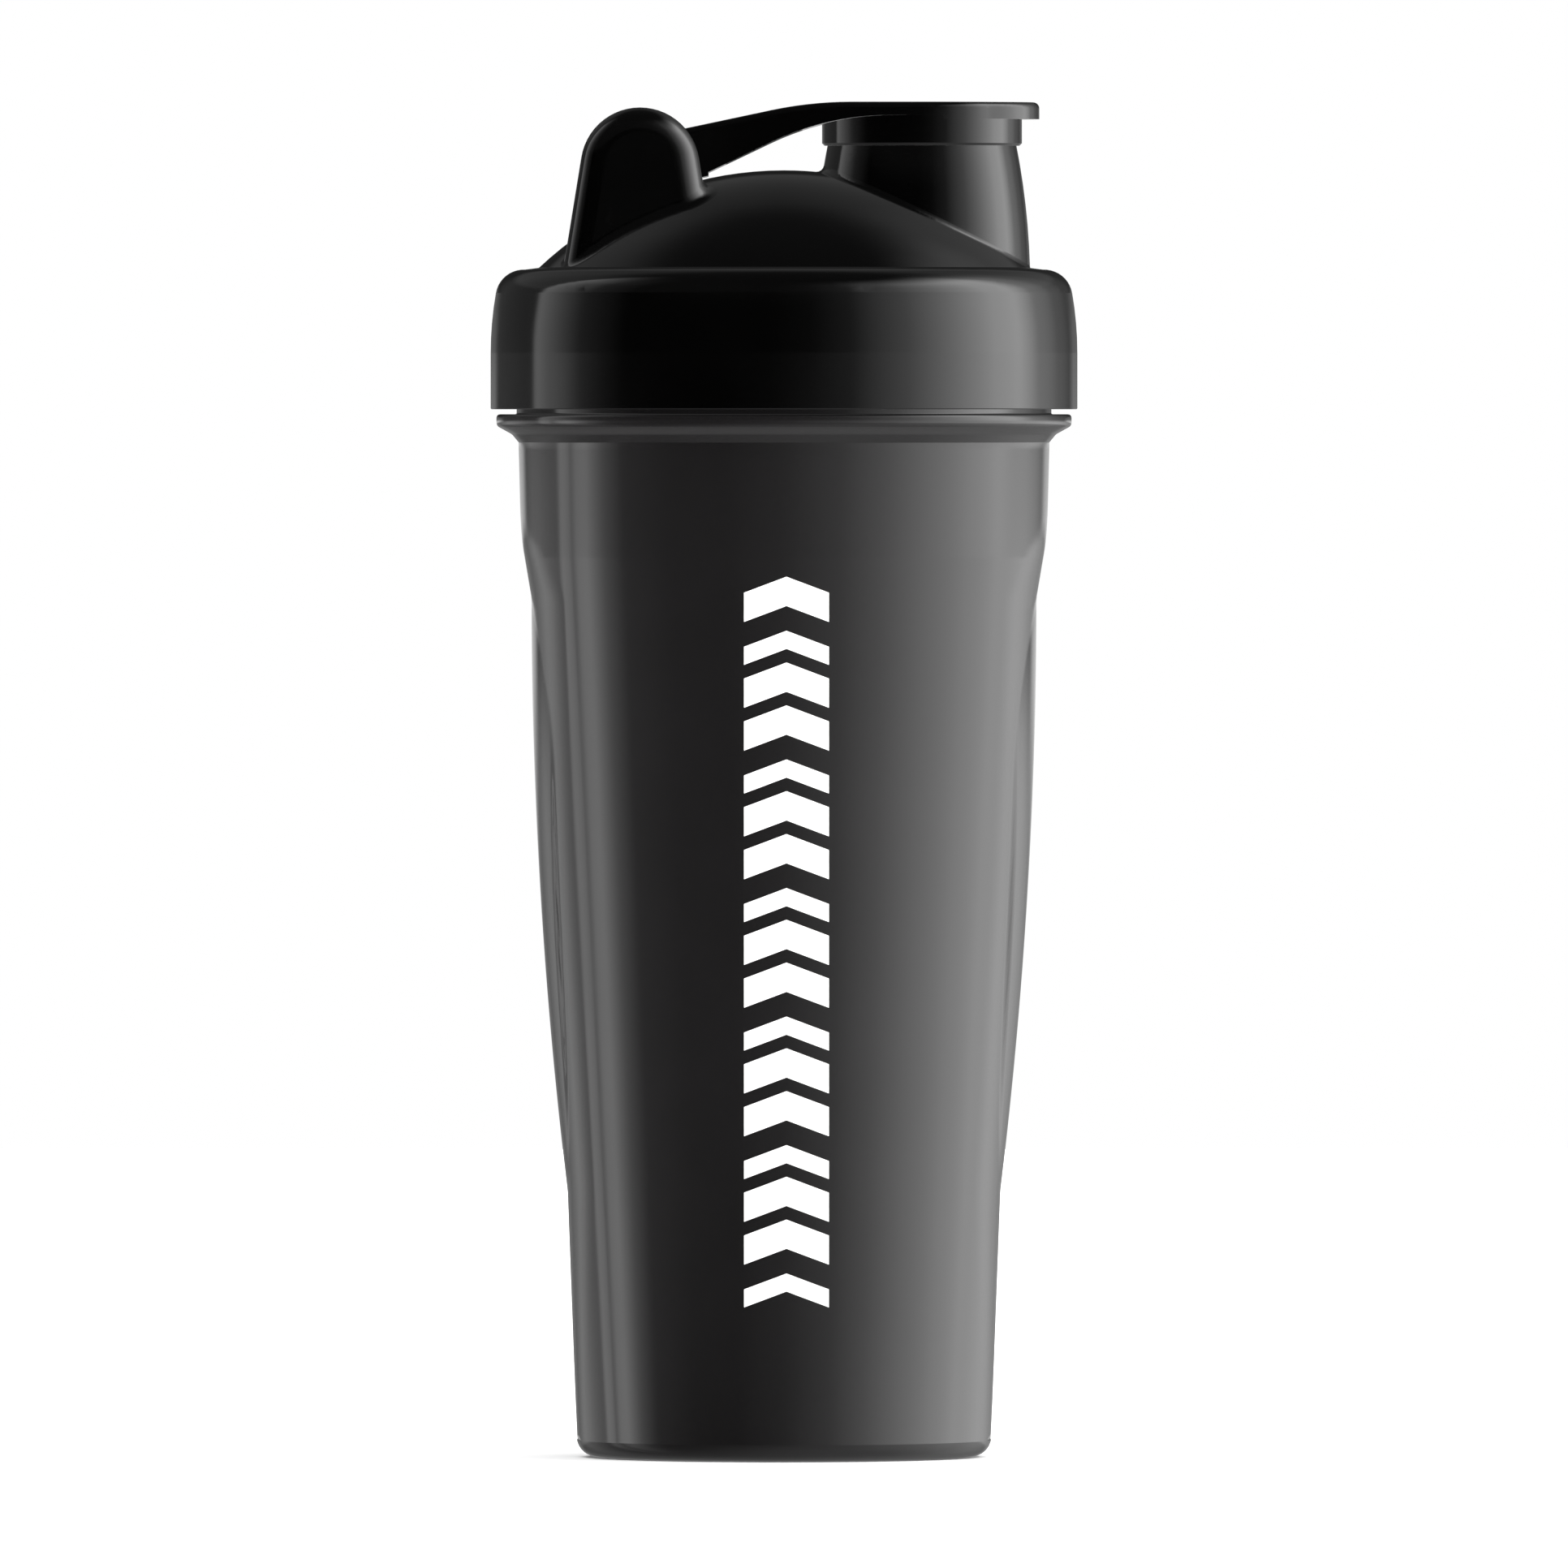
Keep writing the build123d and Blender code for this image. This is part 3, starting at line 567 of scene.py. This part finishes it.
# ================================================================ studio
# The studio is a world of softboxes, walls and paper. A direction in it is a unit vector: x
# towards the spout's side, y towards the back, z up. Each pair of limits below says where
# along such an axis something starts to show and where it shows in full.
STUDIO_PEAK = 5.0                # no softbox is brighter than this

# Softboxes are (azimuth, brightness) stops: degrees from the front, positive towards +X.
# As the upright lid sees them: a large one on the right and a narrow one on the left.
LEVEL_STOPS = [
    (-180, 0.02), (-167, 0.03), (-152, 0.1), (-118, 0.15), (-115, 1.3), (-106, 0.95), (-88, 0.2),
    (-66, 0.005), (-5, 0.005), (11, 0.04), (27, 0.19), (50, 1.15), (64, 2.3), (78, 3.6),
    (92, 4.7), (106, 4.4), (120, 1.5), (137, 0.48), (151, 0.18), (167, 0.05), (180, 0.02),
]
# Their lower parts, as the tapered cup sees them, with a seam in the left one.
LOW_STOPS = [
    (-180, 0.3), (-160, 0.25), (-153, 0.45), (-146, 0.75), (-137, 0.85), (-118, 0.7),
    (-115.5, 1.8), (-109, 1.6), (-106.5, 0.8), (-104, 2.0), (-97, 2.4), (-86, 0.95),
    (-75, 0.22), (-50, 0.05), (-25, 0.01), (0, 0.15), (25, 0.58), (44, 1.34), (65, 2.5),
    (88, 3.5), (108, 3.6), (116, 3.05), (133, 2.2), (146, 1.35), (154, 0.85), (164, 0.45),
    (180, 0.3),
]
LEVEL_ABOVE_LOW = (-0.03, -0.006)
SOFTBOX_TOP = (0.93, 0.68)

LEVEL_BACK_STRIP = 0.15          # a bright strip low on the back wall, which lights the rims
LOW_BACK_STRIP = 0.8             # and its brighter foot
BACK_STRIP_FOOT = (0.0, -0.006)
BACK_STRIP_SIDES = (0.89, 0.94)
BACK_STRIP_BOTTOM = (-0.024, -0.012)
BACK_STRIP_TOP = (0.07, 0.03)

BACK_WALL_GLOW = 0.085
BACK_WALL_SIDES = (-0.1, 0.35)
BACK_WALL_TOP = (0.86, 0.76)
CEILING_GLOW = 0.045
CROWN_BOTTOM = (0.27, 0.34)

HORIZON = -0.16                  # below it the paper mirrors the softboxes, then hides them
HORIZON_DIP = 0.45               # they are this much dimmer in that mirror
DIP_LIMITS = (HORIZON, -0.2)
PAPER_LIMITS = (HORIZON, -0.85)
FLOOR_GLOW = 0.42                # brightness of the paper as the undersides see it
FLOOR_TILT = 1.0                 # how much more of it there is towards the right

OVERHEAD_SUN = 4.2               # strength, and spread in degrees
OVERHEAD_SPREAD = 100
FRONT_SUN = 2.9
FRONT_SPREAD = 3


def feed(tree, value, socket):
    """Sets a node's input from a number or from another node's output."""
    if isinstance(value, (int, float)):
        socket.default_value = value
    else:
        tree.links.new(value, socket)


def math_node(tree, operation, *values):
    """One step of arithmetic on numbers and on other nodes' outputs."""
    node = tree.nodes.new("ShaderNodeMath")
    node.operation = operation
    for socket, value in zip(node.inputs, values):
        feed(tree, value, socket)
    return node.outputs["Value"]


def product(tree, *values):
    """All the values multiplied together."""
    result = values[0]
    for value in values[1:]:
        result = math_node(tree, "MULTIPLY", result, value)
    return result


def between(tree, factor, start, end):
    """Goes from start to end as the factor goes from 0 to 1."""
    return math_node(tree, "MULTIPLY_ADD", factor, end - start, start)


def ramp_node(tree, value, limits, interpolation="LINEAR"):
    """0 at the first limit, 1 at the second, and flat outside them."""
    node = tree.nodes.new("ShaderNodeMapRange")
    node.interpolation_type = interpolation
    node.inputs["From Min"].default_value = limits[0]
    node.inputs["From Max"].default_value = limits[1]
    tree.links.new(value, node.inputs["Value"])
    return node.outputs["Result"]


def mix_node(tree, factor, a, b):
    """Goes from colour a to colour b as the factor goes from 0 to 1."""
    node = tree.nodes.new("ShaderNodeMix")
    node.data_type = "RGBA"
    tree.links.new(factor, node.inputs["Factor"])
    first, second = (socket for socket in node.inputs if socket.type == "RGBA")
    tree.links.new(a, first)
    tree.links.new(b, second)
    return next(socket for socket in node.outputs if socket.type == "RGBA")


def scale_node(tree, color, scale):
    """A colour times a number."""
    node = tree.nodes.new("ShaderNodeVectorMath")
    node.operation = "SCALE"
    tree.links.new(color, node.inputs[0])
    feed(tree, scale, node.inputs["Scale"])
    return node.outputs["Vector"]


def add_node(tree, a, b):
    """The sum of two colours."""
    node = tree.nodes.new("ShaderNodeVectorMath")
    node.operation = "ADD"
    tree.links.new(a, node.inputs[0])
    tree.links.new(b, node.inputs[1])
    return node.outputs["Vector"]


def azimuth_ramp(tree, turn, stops):
    """Brightness by azimuth; turn goes from 0 to 1 as the azimuth goes from -180 to 180."""
    ramp = tree.nodes.new("ShaderNodeValToRGB")
    elements = ramp.color_ramp.elements
    while len(elements) < len(stops):
        elements.new(0.5)
    for element, (azimuth, brightness) in zip(elements, stops):
        element.position = (azimuth + 180) / 360
        element.color = (*grey(brightness / STUDIO_PEAK), 1)
    tree.links.new(turn, ramp.inputs["Fac"])
    return ramp.outputs["Color"]


def back_strip(tree, y, z):
    """The strip low on the back wall."""
    glow = between(tree, ramp_node(tree, z, BACK_STRIP_FOOT), LEVEL_BACK_STRIP, LOW_BACK_STRIP)
    sides = ramp_node(tree, y, BACK_STRIP_SIDES)
    bottom = ramp_node(tree, z, BACK_STRIP_BOTTOM)
    top = ramp_node(tree, z, BACK_STRIP_TOP)
    return product(tree, sides, bottom, top, glow)


def softboxes(tree, x, y, z):
    """Light from round the object, by the direction in which a reflection leaves it."""
    azimuth = math_node(tree, "ARCTAN2", x, product(tree, y, -1.0))
    turn = math_node(tree, "ADD", math_node(tree, "DIVIDE", azimuth, 2 * math.pi), 0.5)
    low = azimuth_ramp(tree, turn, LOW_STOPS)
    level = azimuth_ramp(tree, turn, LEVEL_STOPS)
    boxes = mix_node(tree, ramp_node(tree, z, LEVEL_ABOVE_LOW), low, level)
    light = add_node(tree, scale_node(tree, boxes, STUDIO_PEAK), back_strip(tree, y, z))
    return scale_node(tree, light, ramp_node(tree, z, SOFTBOX_TOP, "SMOOTHSTEP"))


def crown(tree, y, z):
    """The dim back wall and ceiling that show in the domed top."""
    wall = product(tree, ramp_node(tree, y, BACK_WALL_SIDES), ramp_node(tree, z, BACK_WALL_TOP))
    glow = between(tree, wall, CEILING_GLOW, BACK_WALL_GLOW)
    return product(tree, glow, ramp_node(tree, z, CROWN_BOTTOM))


def build_studio():
    """The world: white to the camera, and softboxes, walls and paper to everything else."""
    world = bpy.data.worlds.new("studio")
    bpy.context.scene.world = world
    world.use_nodes = True
    tree = world.node_tree
    tree.nodes.clear()
    direction = tree.nodes.new("ShaderNodeTexCoord")
    parts = tree.nodes.new("ShaderNodeSeparateXYZ")
    tree.links.new(direction.outputs["Generated"], parts.inputs["Vector"])
    x, y, z = (parts.outputs[axis] for axis in "XYZ")

    below = ramp_node(tree, z, PAPER_LIMITS)
    above = math_node(tree, "SUBTRACT", 1.0, below)
    mirrored = between(tree, ramp_node(tree, z, DIP_LIMITS), 1.0, 1.0 - HORIZON_DIP)
    side = scale_node(tree, softboxes(tree, x, y, z), product(tree, mirrored, above))
    tilt = math_node(tree, "MULTIPLY_ADD", x, FLOOR_TILT, 1.0)
    paper = product(tree, below, tilt, FLOOR_GLOW)
    sky = add_node(tree, side, math_node(tree, "ADD", crown(tree, y, z), paper))

    studio = tree.nodes.new("ShaderNodeBackground")
    tree.links.new(sky, studio.inputs["Color"])
    backdrop = tree.nodes.new("ShaderNodeBackground")
    backdrop.inputs["Color"].default_value = (1, 1, 1, 1)
    rays = tree.nodes.new("ShaderNodeLightPath")
    mix = tree.nodes.new("ShaderNodeMixShader")
    output = tree.nodes.new("ShaderNodeOutputWorld")
    tree.links.new(rays.outputs["Is Camera Ray"], mix.inputs["Fac"])
    tree.links.new(studio.outputs["Background"], mix.inputs[1])
    tree.links.new(backdrop.outputs["Background"], mix.inputs[2])
    tree.links.new(mix.outputs["Shader"], output.inputs["Surface"])


def diffuse_sun(name, strength, spread, rotation):
    """A light that brightens surfaces without showing in them; spread is in degrees."""
    sun = bpy.data.lights.new(name, "SUN")
    sun.energy = strength
    sun.angle = math.radians(spread)
    lamp = bpy.data.objects.new(name, sun)
    lamp.rotation_euler = rotation
    lamp.visible_glossy = False
    bpy.context.collection.objects.link(lamp)


# ================================================================ floor and camera
FLOOR_REACH = 2.5                # metres from the middle to each side
FLOOR_DROP = 0.0001              # keeps the paper clear of the foot ring
PAPER_FILL = 0.1                 # glow that keeps the shadow on it faint

LENS = 842                       # millimetres, as the sensor's width is
SENSOR_WIDTH = 36
CAMERA_DISTANCE = 6.0
CAMERA_HEIGHT = 0.171
AIM_HEIGHT = 0.110


def floor_paper():
    """White paper: matt, very slightly uneven."""
    material, tree, shader = shader_nodes("floor_paper")
    vary_color(tree, noise(tree, scale=3, detail=2), grey(0.90), grey(0.92), shader.inputs["Base Color"])
    shader.inputs["Roughness"].default_value = 0.9
    shader.inputs["Specular IOR Level"].default_value = 0.1
    shader.inputs["Emission Color"].default_value = (1, 1, 1, 1)
    shader.inputs["Emission Strength"].default_value = PAPER_FILL
    return material


def build_floor():
    """A plain sheet that isn't part of the object and doesn't show in it."""
    corners = [(x * FLOOR_REACH, y * FLOOR_REACH, 0) for x, y in ((-1, -1), (1, -1), (1, 1), (-1, 1))]
    mesh = bpy.data.meshes.new("floor")
    mesh.from_pydata(corners, [], [(0, 1, 2, 3)])
    mesh.materials.append(floor_paper())
    floor = bpy.data.objects.new("floor", mesh)
    floor.location.z = -FLOOR_DROP
    floor.visible_glossy = False
    bpy.context.collection.objects.link(floor)
    floor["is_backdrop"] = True


def build_camera():
    """A long lens from the printed side, a little above the bottle's middle."""
    data = bpy.data.cameras.new("camera")
    data.lens = LENS
    data.sensor_width = SENSOR_WIDTH
    data.clip_end = 50
    camera = bpy.data.objects.new("camera", data)
    camera.location = (0, -CAMERA_DISTANCE, CAMERA_HEIGHT)
    tilt = math.atan2(AIM_HEIGHT - CAMERA_HEIGHT, CAMERA_DISTANCE)
    camera.rotation_euler = (math.pi / 2 + tilt, 0, 0)
    bpy.context.collection.objects.link(camera)
    bpy.context.scene.camera = camera


build_studio()
diffuse_sun("overhead", OVERHEAD_SUN, OVERHEAD_SPREAD, (0, 0, 0))
diffuse_sun("front_fill", FRONT_SUN, FRONT_SPREAD, (math.pi / 2, 0, 0))
build_floor()
build_camera()
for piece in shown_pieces():
    piece.visible_glossy = False  # only the studio shows in the plastic, as on a product shot
bpy.context.scene.view_settings.view_transform = "Standard"
